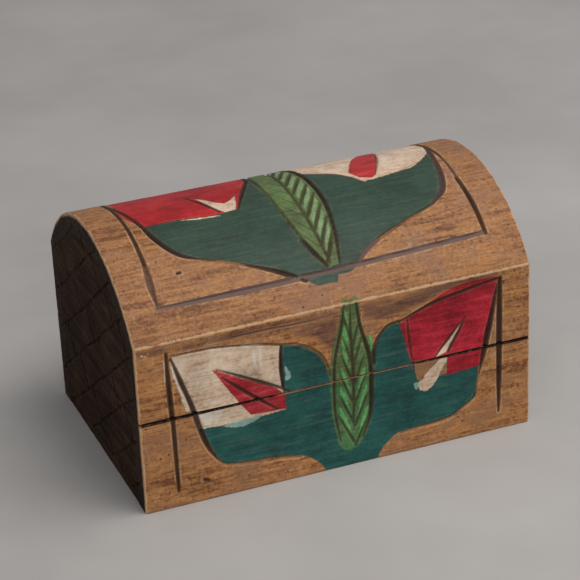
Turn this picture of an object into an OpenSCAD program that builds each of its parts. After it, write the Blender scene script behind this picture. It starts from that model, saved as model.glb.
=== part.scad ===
// Domed wooden jewelry box: boards glued up as one closed chest, then sawn apart into base and lid.
// Frame: millimetres, +Z up, front face towards -Y, origin at the centre of the underside.

/* [Overall] */
// Width of the box, end face to end face
box_w = 150; // [120:1:200]
// Depth of the box, front face to back face
box_d = 98.8; // [80:0.2:130]
// Height of the front and back faces, up to the crease where the dome starts
crease_h = 65; // [55:0.5:85]
// Height of the dome's crown above the crease
dome_rise = 26.5; // [18:0.5:40]
// Height of the base, up to the saw cut that frees the lid
base_h = 35.2; // [25:0.2:42]

/* [Boards] */
// Thickness of the front and back boards
wall_t = 8; // [5:0.5:11]
// Thickness of the end boards
end_t = 8; // [5:0.5:12]
// Thickness of the bottom board
bottom_t = 6; // [4:0.5:10]
// Thickness of the dome, from its outer to its inner face
dome_t = 8; // [5:0.5:11]
// Width of the saw cut between base and lid
saw_gap = 0.4; // [0.3:0.1:1]
// Glue line between the dome's hollow and the rounded end boards
glue_gap = 0.05; // [0.02:0.01:0.15]

/* [Carving] */
// Width of the V-shaped frame grooves at the surface
groove_w = 2.2; // [1:0.1:3]
// Depth of the frame grooves
groove_depth = 1.1; // [0.4:0.1:2]
// Distance of the upright frame grooves from the end faces
frame_inset = 12.5; // [9:0.5:20]
// Height of the lower end of the upright grooves
frame_low = 6.5; // [3:0.5:15]
// Distance of the grooves' upper end below the crease
frame_top_gap = 5; // [3:0.5:10]
// Distance of the dome's long grooves from the crease, along the arc
dome_frame_inset = 12; // [8:0.5:20]
// Width of the slanting cuts on the end faces
cut_w = 1.4; // [0.8:0.1:2.4]
// Depth of the slanting cuts
cut_depth = 0.7; // [0.3:0.1:1.5]
// Spacing of the slanting cuts, measured up the end face
cut_pitch = 16.5; // [12:0.5:30]
// Height at which a slanting cut crosses the middle of the end face
cut_start = 12.3; // [6:0.1:20]
// Slope of the cuts, falling towards the back, in degrees
cut_slope = 35; // [20:1:50]
// Margin left uncut round the rim of the end faces
cut_margin = 9; // [8.5:0.5:14]

/* [Hinges] */
// Length of each hinge, along the back
hinge_len = 20; // [14:1:30]
// Distance of each hinge's centre from the middle of the box
hinge_x = 42; // [30:1:48]
// Height of each leaf, measured from the hinge's axis
leaf_h = 10; // [8:0.5:14]
// Thickness of the sheet brass
leaf_t = 0.8; // [0.6:0.1:1.2]
// Outside radius of the rolled barrel
barrel_r = 1.5; // [1.3:0.1:2.5]
// Radius of the hinge pin
pin_r = 0.7; // [0.5:0.05:1]
// Running clearance between pin and barrel, on the radius
pin_gap = 0.04; // [0.02:0.01:0.1]
// Gap between one knuckle and the next
knuckle_gap = 0.3; // [0.2:0.05:0.5]
// Length of pin that stands out of each end of the barrel
pin_stand = 0.5; // [0.3:0.1:1]

/* [Hinge nails] */
// Radius of the nail's shank
nail_r = 0.6; // [0.4:0.05:0.8]
// Length of shank driven into the wood
nail_len = 5.5; // [3:0.5:6]
// Radius of the domed head
nail_head_r = 1.3; // [1:0.1:1.6]
// Height of the domed head
nail_head_h = 0.7; // [0.4:0.1:1]
// Distance between the two nails of one leaf
nail_spacing = 12; // [8:0.5:18]
// Clearance round the shank in the brass leaf
nail_hole_gap = 0.15; // [0.05:0.05:0.3]
// Clearance round the shank in its pilot hole
pilot_gap = 0.02; // [0.01:0.01:0.05]

/* [Hidden] */
$fn = 96;

// Dome: one arc through both creases and the crown.
half_d = box_d / 2;
dome_r = (pow(half_d, 2) + pow(dome_rise, 2)) / (2 * dome_rise);
dome_axis_z = crease_h + dome_rise - dome_r;
dome_half_angle = asin(half_d / dome_r);
dome_frame_angle = dome_half_angle - dome_frame_inset / dome_r * 180 / PI;

// Saw cut, lid and inside sizes.
lid_z = base_h + saw_gap;
inside_w = box_w - 2 * end_t;
inside_d = box_d - 2 * wall_t;
frame_x = box_w / 2 - frame_inset;

// Hinge: the axis is level with the middle of the saw cut, and the barrel just clears the wood.
barrel_clear = 0.15;
hinge_axis_y = half_d + barrel_r + barrel_clear;
hinge_axis_z = base_h + saw_gap / 2;
knuckle_count = 5;
knuckle_pitch = (hinge_len + knuckle_gap) / knuckle_count;
knuckle_len = knuckle_pitch - knuckle_gap;
nail_z = (leaf_h + barrel_r) / 2;

OAK = "#8a5a34";
DARK_STAIN = "#2a1b13";
RAW_WOOD = "#a9825a";
BRASS = "#b08d3c";
over = 1;    // how far cutters run past the face that they cut

// ---- Cutters -------------------------------------------------------------------------------

// V-shaped cutter along X, centred on the origin, cutting down from z = 0.
module v_cutter(length, width, depth) {
    slope = width / (2 * depth);
    rotate([90, 0, 90])
        linear_extrude(length, center = true)
            polygon([[0, -depth], [width / 2 + over * slope, over], [-width / 2 - over * slope, over]]);
}

// One upright frame groove on the front (side = -1) or back (side = 1) face, between two heights.
module upright_groove(x, side, low, high) {
    translate([x, side * half_d, (low + high) / 2])
        rotate([side * -90, 0, 0])
            rotate([0, 0, 90])
                v_cutter(high - low, groove_w, groove_depth);
}

module upright_grooves(side, low, high) {
    for (x = [-frame_x, frame_x]) upright_groove(x, side, low, high);
}

// Slanting cuts with short staggered ticks, for the end face at x = side * box_w / 2.
module end_cuts(side) {
    run = box_d;
    tick = cut_pitch * cos(cut_slope);
    intersection() {
        for (i = [-2 : 6])
            translate([side * box_w / 2, 0, i * cut_pitch + cut_start])
                rotate([0, side * 90, 0])
                    rotate([0, 0, side * -cut_slope])
                        union() {
                            rotate([0, 0, 90]) v_cutter(2 * run, cut_w, cut_depth);
                            for (j = [-2 : 2])
                                translate([side * -tick / 2, (j + (i % 2) / 2) * 2 * cut_pitch, 0])
                                    v_cutter(tick, cut_w, cut_depth);
                        }
        rotate([0, 90, 0])
            linear_extrude(2 * box_w, center = true)
                rotate([0, 0, 90])
                    end_outline(cut_margin);
    }
}

// Outline of an end face (Y across, Z up), taken in by a margin on every side.
module end_outline(margin) {
    intersection() {
        translate([0, dome_axis_z]) circle(r = dome_r - margin);
        translate([-half_d + margin, margin]) square([box_d - 2 * margin, crease_h + dome_rise]);
    }
}

// Pilot holes for the nails of one leaf of every hinge; up = 1 for the lid's leaves, -1 for the base's.
module pilot_holes(up) {
    for (x = [-hinge_x, hinge_x], dx = [-1, 1])
        translate([x + dx * nail_spacing / 2, half_d + over, hinge_axis_z + up * nail_z])
            rotate([90, 0, 0])
                cylinder(r = nail_r + pilot_gap, h = nail_len + over + 0.3);
}

// ---- Base ----------------------------------------------------------------------------------

module board(size, corner) {
    translate(corner) cube(size);
}

module bottom_board() {
    color(RAW_WOOD)
        board([inside_w, inside_d, bottom_t], [-inside_w / 2, -inside_d / 2, 0]);
}

module base_front_board() {
    color(OAK)
        difference() {
            board([box_w, wall_t, base_h], [-box_w / 2, -half_d, 0]);
            upright_grooves(-1, frame_low, base_h + over);
        }
}

module base_back_board() {
    color(OAK)
        difference() {
            board([box_w, wall_t, base_h], [-box_w / 2, half_d - wall_t, 0]);
            upright_grooves(1, frame_low, base_h + over);
            pilot_holes(-1);
        }
}

// End board of the base; side = -1 for the left end, 1 for the right.
module base_end(side) {
    color(DARK_STAIN)
        difference() {
            board([end_t, inside_d, base_h], [side * (box_w - end_t) / 2 - end_t / 2, -inside_d / 2, 0]);
            end_cuts(side);
        }
}

module base_left_end() { base_end(-1); }
module base_right_end() { base_end(1); }

// ---- Lid -----------------------------------------------------------------------------------

module lid_front_rail() {
    color(OAK)
        difference() {
            board([box_w, wall_t, crease_h - lid_z], [-box_w / 2, -half_d, lid_z]);
            upright_grooves(-1, lid_z - over, crease_h - frame_top_gap);
        }
}

module lid_back_rail() {
    color(OAK)
        difference() {
            board([box_w, wall_t, crease_h - lid_z], [-box_w / 2, half_d - wall_t, lid_z]);
            upright_grooves(1, lid_z - over, crease_h - frame_top_gap);
            pilot_holes(1);
        }
}

// End board of the lid: square below the crease, rounded above it to fit the dome's hollow.
module lid_end(side) {
    color(DARK_STAIN)
        difference() {
            translate([side * (box_w - end_t) / 2, 0, 0])
                rotate([90, 0, 90])
                    linear_extrude(end_t, center = true) {
                        translate([-inside_d / 2, lid_z]) square([inside_d, crease_h - lid_z]);
                        intersection() {
                            translate([0, dome_axis_z]) circle(r = dome_r - dome_t - glue_gap);
                            translate([-inside_d / 2, lid_z]) square([inside_d, box_d]);
                        }
                    }
            end_cuts(side);
        }
}

module lid_left_end() { lid_end(-1); }
module lid_right_end() { lid_end(1); }

// Solid cylinder along X about the dome's axis.
module dome_cylinder(r, length) {
    translate([0, 0, dome_axis_z])
        rotate([0, 90, 0])
            cylinder(r = r, h = length, center = true);
}

// Long groove of the dome's frame; side = -1 at the front, 1 at the back.
module dome_long_groove(side) {
    translate([0, 0, dome_axis_z])
        rotate([-side * dome_frame_angle, 0, 0])
            translate([0, 0, dome_r])
                v_cutter(2 * frame_x + groove_w, groove_w, groove_depth);
}

// Groove that runs over the dome, just past the long groove at each end.
module dome_hoop_groove(x) {
    slope = groove_w / (2 * groove_depth);
    reach = dome_frame_angle + groove_w / 2 / dome_r * 180 / PI;
    translate([x, 0, dome_axis_z])
        rotate([0, -90, 0])
            rotate([0, 0, -reach])
                rotate_extrude(angle = 2 * reach, $fn = 180)
                    polygon([
                        [dome_r - groove_depth, 0],
                        [dome_r + over, groove_w / 2 + over * slope],
                        [dome_r + over, -groove_w / 2 - over * slope]
                    ]);
}

module dome_panel() {
    color(OAK)
        difference() {
            intersection() {
                dome_cylinder(dome_r, box_w);
                board([box_w, box_d, dome_rise + over], [-box_w / 2, -half_d, crease_h]);
            }
            dome_cylinder(dome_r - dome_t, box_w + 2 * over);
            for (side = [-1, 1]) dome_long_groove(side);
            for (x = [-frame_x, frame_x]) dome_hoop_groove(x);
        }
}

// ---- Hinges --------------------------------------------------------------------------------

// Knuckles number first, first + 2, ... of a hinge centred at x.
module knuckles(x, first) {
    for (k = [first : 2 : knuckle_count - 1])
        translate([x - hinge_len / 2 + k * knuckle_pitch, hinge_axis_y, hinge_axis_z])
            rotate([0, 90, 0])
                cylinder(r = barrel_r, h = knuckle_len, $fn = 48);
}

// Clears the other leaf's knuckles out of this leaf's plate.
module knuckle_notches(x, first) {
    reach = barrel_r + barrel_clear;
    for (k = [first : 2 : knuckle_count - 1])
        translate([x - hinge_len / 2 + k * knuckle_pitch - knuckle_gap, half_d - over, hinge_axis_z - reach])
            cube([knuckle_len + 2 * knuckle_gap, leaf_t + barrel_r + over, 2 * reach]);
}

// One leaf: up = 1 for the lid's, -1 for the base's. The base's leaf carries the outer knuckles.
module leaf(x, up) {
    own = up > 0 ? 1 : 0;
    color(BRASS)
        difference() {
            union() {
                translate([x - hinge_len / 2, half_d, up > 0 ? hinge_axis_z : hinge_axis_z - leaf_h])
                    cube([hinge_len, leaf_t, leaf_h]);
                knuckles(x, own);
            }
            knuckle_notches(x, 1 - own);
            translate([x - hinge_len, hinge_axis_y, hinge_axis_z])
                rotate([0, 90, 0])
                    cylinder(r = pin_r + pin_gap, h = 2 * hinge_len, $fn = 48);
            for (dx = [-1, 1])
                translate([x + dx * nail_spacing / 2, half_d - over, hinge_axis_z + up * nail_z])
                    rotate([-90, 0, 0])
                        cylinder(r = nail_r + nail_hole_gap, h = leaf_t + 2 * over, $fn = 32);
        }
}

module hinge_pin(x) {
    color(BRASS)
        translate([x - hinge_len / 2 - pin_stand, hinge_axis_y, hinge_axis_z])
            rotate([0, 90, 0])
                cylinder(r = pin_r, h = hinge_len + 2 * pin_stand, $fn = 48);
}

// Domed-head nail, standing on the leaf's face with its shank towards -Y.
module nail() {
    crown_r = (pow(nail_head_r, 2) + pow(nail_head_h, 2)) / (2 * nail_head_h);
    rotate([-90, 0, 0]) {
        intersection() {
            translate([0, 0, nail_head_h - crown_r]) sphere(r = crown_r, $fn = 48);
            cylinder(r = nail_head_r + over, h = nail_head_h + over, $fn = 48);
        }
        translate([0, 0, -leaf_t - nail_len])
            cylinder(r = nail_r, h = leaf_t + nail_len + nail_head_h / 2, $fn = 32);
    }
}

// The pair of nails in one leaf.
module leaf_nails(x, up) {
    color(BRASS)
        for (dx = [-1, 1])
            translate([x + dx * nail_spacing / 2, half_d + leaf_t, hinge_axis_z + up * nail_z])
                nail();
}

module left_hinge_base_leaf() { leaf(-hinge_x, -1); }
module left_hinge_lid_leaf() { leaf(-hinge_x, 1); }
module left_hinge_pin() { hinge_pin(-hinge_x); }
module left_hinge_base_nails() { leaf_nails(-hinge_x, -1); }
module left_hinge_lid_nails() { leaf_nails(-hinge_x, 1); }
module right_hinge_base_leaf() { leaf(hinge_x, -1); }
module right_hinge_lid_leaf() { leaf(hinge_x, 1); }
module right_hinge_pin() { hinge_pin(hinge_x); }
module right_hinge_base_nails() { leaf_nails(hinge_x, -1); }
module right_hinge_lid_nails() { leaf_nails(hinge_x, 1); }

// ---- Nodes ---------------------------------------------------------------------------------

bottom_board();
base_front_board();
base_back_board();
base_left_end();
base_right_end();
lid_front_rail();
lid_back_rail();
lid_left_end();
lid_right_end();
dome_panel();
left_hinge_base_leaf();
left_hinge_lid_leaf();
left_hinge_pin();
left_hinge_base_nails();
left_hinge_lid_nails();
right_hinge_base_leaf();
right_hinge_lid_leaf();
right_hinge_pin();
right_hinge_base_nails();
right_hinge_lid_nails();
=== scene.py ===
import math

import bpy
import numpy as np
from mathutils import Matrix, Vector


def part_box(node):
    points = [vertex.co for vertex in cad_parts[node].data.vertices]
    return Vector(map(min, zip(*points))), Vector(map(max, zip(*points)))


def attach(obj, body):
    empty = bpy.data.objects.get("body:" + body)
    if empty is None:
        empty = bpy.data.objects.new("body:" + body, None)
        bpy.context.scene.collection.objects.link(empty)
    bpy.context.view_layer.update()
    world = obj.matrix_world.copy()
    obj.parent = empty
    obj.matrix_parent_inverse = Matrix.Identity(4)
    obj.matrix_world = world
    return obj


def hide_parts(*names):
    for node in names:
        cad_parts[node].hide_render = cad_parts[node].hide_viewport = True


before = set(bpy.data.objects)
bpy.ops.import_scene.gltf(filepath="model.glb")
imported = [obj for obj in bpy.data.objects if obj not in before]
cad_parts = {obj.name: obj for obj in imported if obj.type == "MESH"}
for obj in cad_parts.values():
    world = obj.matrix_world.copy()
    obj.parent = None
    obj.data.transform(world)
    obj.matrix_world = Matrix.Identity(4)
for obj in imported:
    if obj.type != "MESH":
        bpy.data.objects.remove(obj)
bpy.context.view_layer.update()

# ---- Sizes in millimetres, taken from the frame ------------------------------------------------
MM = 0.001
front_low, front_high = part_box("base_front_board")
rail_low, rail_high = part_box("lid_front_rail")
end_low, end_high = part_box("base_left_end")

HALF_W = front_high.x / MM
HALF_D = -front_low.y / MM
WIDTH = 2 * HALF_W
BASE_H = front_high.z / MM
LID_Z = rail_low.z / MM
CREASE = rail_high.z / MM
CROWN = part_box("dome_panel")[1].z / MM
WALL_T = (front_high.y - front_low.y) / MM
END_T = (end_high.x - end_low.x) / MM
END_LEN = (end_high.y - end_low.y) / MM
DOME_T = 8.0
GLUE = 0.05                                 # gap between the dome's hollow and the end boards

DOME_RISE = CROWN - CREASE
DOME_R = (HALF_D ** 2 + DOME_RISE ** 2) / (2 * DOME_RISE)
AXIS_Z = CROWN - DOME_R
SEAT = CREASE - AXIS_Z                      # the crease's height above the dome's axis
DOME_ARC = 2 * DOME_R * math.asin(HALF_D / DOME_R)

# Slanting cuts on the end faces
CUT_PITCH = 16.5
CUT_START = 12.3
CUT_SLOPE = math.radians(35)
CUT_W = 1.0
CUT_MARGIN = 3.6                            # plain rim left round the cuts

# Gouge cuts, and the ground that was lowered for the paint
GOUGE_SPREAD = 1.1                          # how much wider a worn cut is than its tool
GOUGE_SLOPE = 0.95                          # depth of a cut for each millimetre of half width
DEEPEST = 1.1
PAINT_SINK = 0.3
TOOL_MARK = 0.07

# Mesh cells on the carved faces
FINE = 0.42
DOME_CELL = 0.5
PLAIN = 0.8

NOWHERE = -9.0                              # distance given to paint that a face doesn't have


# ---- Node trees --------------------------------------------------------------------------------
class Val:
    """A node's output, with arithmetic that adds Math nodes to its tree."""

    def __init__(self, tree, socket):
        self.tree, self.socket = tree, socket

    def math(self, operation, *terms):
        return self.tree.node("ShaderNodeMath", {"operation": operation}, dict(enumerate(terms)))

    def __add__(self, other):
        return self.math("ADD", self, other)

    def __radd__(self, other):
        return self.math("ADD", other, self)

    def __sub__(self, other):
        return self.math("SUBTRACT", self, other)

    def __rsub__(self, other):
        return self.math("SUBTRACT", other, self)

    def __mul__(self, other):
        return self.math("MULTIPLY", self, other)

    def __rmul__(self, other):
        return self.math("MULTIPLY", other, self)

    def __truediv__(self, other):
        return self.math("DIVIDE", self, other)

    def __rtruediv__(self, other):
        return self.math("DIVIDE", other, self)

    def __abs__(self):
        return self.math("ABSOLUTE", self)

    def floor(self):
        return self.math("FLOOR", self)

    def wrap(self, period):
        return self.math("FLOORED_MODULO", self, period)

    def root(self):
        return self.math("SQRT", self)

    def sin(self):
        return self.math("SINE", self)

    def cos(self):
        return self.math("COSINE", self)

    def arccos(self):
        return self.math("ARCCOSINE", self)

    def sign(self):
        return self.math("SIGN", self)

    def low(self, other):
        return self.math("MINIMUM", self, other)

    def high(self, other):
        return self.math("MAXIMUM", self, other)

    def clamp(self):
        return self.low(1.0).high(0.0)

    def edge(self, softness):
        """1 where the value is above zero, 0 below, softened over a width."""
        return (self / softness + 0.5).clamp()

    def other(self, name):
        return Val(self.tree, self.socket.node.outputs[name])


class Tree:
    """One method makes any node; a few short ones name the nodes that are used most."""

    def __init__(self, tree):
        self.tree = tree
        tree.nodes.clear()

    def node(self, kind, settings=None, inputs=None, out=0):
        made = self.tree.nodes.new(kind)
        for name, value in (settings or {}).items():
            if name == "stops":
                self.set_stops(made.color_ramp, value)
            else:
                setattr(made, name, value)
        for name, value in (inputs or {}).items():
            if isinstance(value, Val):
                self.tree.links.new(value.socket, made.inputs[name])
            else:
                made.inputs[name].default_value = value
        return Val(self, made.outputs[out]) if made.outputs else made

    @staticmethod
    def set_stops(ramp, stops):
        while len(ramp.elements) < len(stops):
            ramp.elements.new(0.5)
        for element, (place, tint) in zip(ramp.elements, stops):
            element.position, element.color = place, tint

    def ramp(self, value, stops):
        return self.node("ShaderNodeValToRGB", {"stops": stops}, {0: value})

    def mix(self, a, b, factor):
        return self.node("ShaderNodeMix", {"data_type": "RGBA"}, {0: factor, 6: a, 7: b}, out=2)

    def scaled(self, vector, factors):
        return self.node("ShaderNodeVectorMath", {"operation": "MULTIPLY"}, {0: vector, 1: factors})

    def noise(self, vector, scale, detail=2.0, roughness=0.5, distortion=0.0):
        return self.node("ShaderNodeTexNoise", {}, {
            "Vector": vector, "Scale": scale, "Detail": detail,
            "Roughness": roughness, "Distortion": distortion})

    def named(self, name):
        return self.node("ShaderNodeAttribute", {"attribute_name": name}, out="Fac")


def tint(red, green, blue):
    """A colour given as 0-255 screen values."""
    def linear(value):
        value /= 255
        return value / 12.92 if value <= 0.04045 else ((value + 0.055) / 1.055) ** 2.4
    return linear(red), linear(green), linear(blue), 1.0


# ---- Outlines and gouge cuts, in face millimetres ----------------------------------------------
def curve_through(points, step=1.2):
    """A smooth curve through given points."""
    p = np.array(points, float)
    if len(p) < 3:
        return p
    ends = np.vstack([2 * p[0] - p[1], p, 2 * p[-1] - p[-2]])
    made = []
    for a, b, c, d in zip(ends, ends[1:], ends[2:], ends[3:]):
        count = max(2, int(np.linalg.norm(c - b) / step))
        for t in np.arange(count) / count:
            made.append(0.5 * (2 * b + (c - a) * t + (2 * a - 5 * b + 4 * c - d) * t ** 2
                               + (3 * b - a - 3 * c + d) * t ** 3))
    return np.vstack([made, p[-1:]])


def outline(*strokes):
    """A closed outline made of smooth strokes that meet at corners."""
    return np.vstack([curve_through(s) for s in strokes])


def along_segment(px, py, ax, ay, dx, dy):
    """Share along a segment and squared distance from it, for each point."""
    length = max(dx * dx + dy * dy, 1e-9)
    t = np.clip((px * dx + py * dy - ax * dx - ay * dy) / length, 0, 1)
    return t, (px - ax - t * dx) ** 2 + (py - ay - t * dy) ** 2


def area_distance(u, v, shape):
    """Distance to a closed outline, positive inside it."""
    nearest = np.full(u.shape, 1e9)
    inside = np.zeros(u.shape, bool)
    for (ax, ay), (bx, by) in zip(shape, np.roll(shape, -1, axis=0)):
        nearest = np.minimum(nearest, along_segment(u, v, ax, ay, bx - ax, by - ay)[1])
        if ay != by:
            crosses = (ay > v) != (by > v)
            inside ^= crosses & (u < (bx - ax) * (v - ay) / (by - ay) + ax)
    distance = np.sqrt(nearest)
    return np.clip(np.where(inside, distance, -distance), NOWHERE, 9)


class Face:
    """Paint and cuts on one face, as distances in millimetres at each mesh point."""

    PAINTS = ("grime", "cup", "cream", "red", "leaf", "light_leaf", "smear", "chalk", "bare_patch")

    def __init__(self, u, v):
        self.u, self.v = u, v
        self.paint = {name: np.full(u.shape, NOWHERE) for name in self.PAINTS}
        self.cut = np.full(u.shape, NOWHERE)
        self.dust = np.zeros(u.shape)
        self.fade = np.zeros(u.shape)

    def fill(self, name, *strokes):
        distance = area_distance(self.u, self.v, outline(*strokes))
        self.paint[name] = np.maximum(self.paint[name], distance)

    def clear(self, name, *strokes):
        distance = area_distance(self.u, self.v, outline(*strokes))
        self.paint[name] = np.minimum(self.paint[name], -distance)

    def gouge(self, points, widths, dust=0.0, fade=0.0):
        """A V-shaped cut whose width follows a list of values along its length. Dust and a painted sheen grey
        the stain in it, and fade takes the stain away."""
        line = curve_through(points)
        run = np.concatenate([[0], np.cumsum(np.linalg.norm(np.diff(line, axis=0), axis=1))])
        widths = np.atleast_1d(np.array(widths, float)) * GOUGE_SPREAD
        half = np.interp(run / run[-1], np.linspace(0, 1, len(widths)), widths) / 2
        reach = half.max() + 2
        near = ((self.u > line[:, 0].min() - reach) & (self.u < line[:, 0].max() + reach)
                & (self.v > line[:, 1].min() - reach) & (self.v < line[:, 1].max() + reach))
        u, v = self.u[near], self.v[near]
        best = np.full(u.shape, NOWHERE)
        for (ax, ay), (bx, by), h0, h1 in zip(line, line[1:], half, half[1:]):
            t, squared = along_segment(u, v, ax, ay, bx - ax, by - ay)
            best = np.maximum(best, h0 + (h1 - h0) * t - np.sqrt(squared))
        chosen = (best > -1.2) & (best > self.cut[near])
        self.dust[near] = np.where(chosen, dust, self.dust[near])
        self.fade[near] = np.where(chosen, fade, self.fade[near])
        self.cut[near] = np.maximum(self.cut[near], best)


# ---- The flower on the front: u from the left end, v up from the underside ----------------------
def front_flower(face):
    face.fill("cup",
              [(53.5, 54.2), (58, 53.5), (63, 51), (67, 47.5), (69.5, 43.5), (71, 38)],
              [(79, 33)], [(88, 40), (88.5, 44), (90, 48.5), (92, 51), (95, 53), (99, 52.8)],
              [(99, 52.8), (110, 57.3), (125, 59.8), (137, 61.5)],
              [(135.5, 50), (133, 38), (130, 30), (129, 25), (128, 16)],
              [(128, 16), (122, 12), (118, 10), (105, 9), (97, 8.5), (93, 6.5), (90, 3), (88, -1)],
              [(69, -1), (66, 4), (62, 7.5), (58, 9), (50, 10.5), (40, 11.5), (31, 12.5), (28, 15)],
              [(28, 15), (25, 22), (21.5, 28.4)], [(19.5, 38), (16, 49), (13, 58)],
              [(13, 59), (30, 58.5), (45, 56), (53.5, 54.2)])
    # left petal, pale, with a red pistil
    face.fill("cream", [(13, 59.2), (30, 58.7), (45, 56.2), (53, 54.2)],
              [(52.6, 46), (53, 39), (54, 28.7)], [(40, 28.2), (21.5, 28.6)],
              [(19.5, 38), (16, 49), (13, 58)])
    face.fill("cream", [(12.6, 57), (14, 50), (17, 37)], [(18.8, 36.6)], [(16, 47), (13.2, 58)])
    face.fill("red", [(27.5, 51), (34, 47.3), (40, 44), (46, 41), (51, 38), (54, 35)],
              [(54.3, 29)], [(48, 29.4), (41, 29.8)], [(38, 34), (34, 40), (30.5, 46)])
    # right petal, red, with a pale pistil and a patch of bare wood at its foot
    face.fill("red", [(99, 52.8), (109, 58), (118, 61.8), (127, 63.4), (137, 62.8)],
              [(135.4, 50), (132.6, 38), (131, 28.4)], [(117, 27.4), (104, 28)],
              [(102.3, 37), (100.6, 44), (98.5, 52.5)])
    face.clear("red", [(103, 36.2), (117, 35.6)], [(116.7, 28), (110, 26), (103, 26)])
    face.fill("bare_patch", [(103.4, 36), (117, 35.4)], [(116.6, 28.2), (111, 27.6), (105, 28)])
    pistil = ([(105.2, 26.5), (106, 23.7), (109, 23), (111.6, 25.2)],
              [(116.3, 32.5), (117.2, 37.4)], [(112, 33.4), (107.6, 29)])
    face.fill("cream", *pistil)
    face.clear("bare_patch", *pistil)
    face.fill("cream", [(112, 35.8), (118, 42), (123.5, 48.8)], [(120.5, 43.6), (116.4, 37)])
    face.clear("red", [(112, 35.8), (118, 42), (123, 48.2)], [(120.5, 43.6), (116.4, 37)])
    # smears where the wet colours ran into one another
    face.fill("smear", [(54.4, 46), (56.3, 43), (56, 40.6), (54.4, 40.2)])
    face.fill("smear", [(30, 27.8), (36, 26), (40, 26.4), (45, 28.4), (36, 28.8)])
    face.fill("smear", [(103.6, 27), (104, 24.4), (105.4, 24.4), (105, 27.4)])
    # chalky ground where the paint has rubbed off
    face.fill("chalk", [(13, 57.5), (13.2, 52), (14.7, 47), (16.6, 40), (17.4, 36.8)],
              [(18.6, 36.8), (17.4, 43), (15.4, 48.5), (13.8, 54)])
    face.fill("chalk", [(21.6, 34.6), (27, 34.9), (31, 34)], [(29, 30), (23.6, 29.6)])
    face.fill("chalk", [(38, 58.2), (43, 57.7), (47, 56.4)], [(44, 56.2), (39, 57.2)])
    for u in (42.6, 45):
        face.fill("chalk", [(u, 55), (u + 0.3, 48.5)], [(u + 1.1, 48.5), (u + 0.9, 55)])
    face.fill("chalk", [(10.4, 58), (10.3, 50)], [(10.7, 50), (10.8, 58)])
    # cuts round the petals and the cup
    face.gouge([(13, 58.5), (16.3, 48), (19.6, 38), (22, 28.5), (24.5, 21), (28, 14.8)],
               [1.0, 1.9, 1.9, 2.1, 2.0, 0.8])
    face.gouge([(28, 14.8), (31, 12.4), (40, 11), (50, 10), (59, 8.4)], [1.0, 1.2, 1.2, 1.3, 0.7], fade=0.72)
    face.gouge([(13, 59.8), (30, 59), (45, 56.7), (53.5, 54.7), (59, 53.8)],
               [0.6, 1.0, 0.9, 1.2, 0.9], fade=0.3)
    face.gouge([(58, 54), (63, 51.6), (67.6, 47.7), (70.2, 43), (71.3, 38)], [0.9, 1.3, 1.4, 0.8], fade=0.45)
    face.gouge([(53.2, 54.2), (52.9, 46), (53.4, 37.5)], [1.1, 1.7, 1.3])
    face.gouge([(88, 39), (88.4, 45), (90.4, 49.6), (94, 53), (98.6, 53.6)],
               [1.9, 2.0, 1.5, 1.2, 1.0], fade=0.15)
    face.gouge([(98, 53.2), (110, 57.4), (124, 60), (136.8, 61.9)], [0.9, 1.5, 1.5, 1.3])
    face.gouge([(101.4, 53.2), (102.2, 44), (103.4, 35)], [0.8, 1.3, 0.7], fade=0.35)
    face.gouge([(136.8, 59.5), (134.6, 48), (132.4, 38), (130.6, 30), (129.4, 25)],
               [0.9, 1.7, 2.4, 2.2, 0.6])
    face.gouge([(129, 24), (127.6, 16.4), (122, 12.2), (117, 9.8), (105, 8.8), (97, 8.2)],
               [0.4, 1.0, 1.3, 1.2, 0.9, 0.5], fade=0.55)
    # cuts in the pistils
    face.gouge([(29, 50.6), (40, 44.6), (50, 39.2), (55.4, 35.8)], [0.6, 1.3, 1.5, 0.9])
    face.gouge([(31, 47), (38, 40.5), (45, 34.6), (51, 29.6)], [0.7, 1.5, 1.5, 0.8])
    face.gouge([(112, 36), (118, 42.8), (124.6, 49.8)], [0.6, 1.1, 0.5])
    face.gouge([(117.3, 37), (121, 43), (124.6, 49.4)], [1.0, 1.2, 0.4])
    front_leaf(face)


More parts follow.
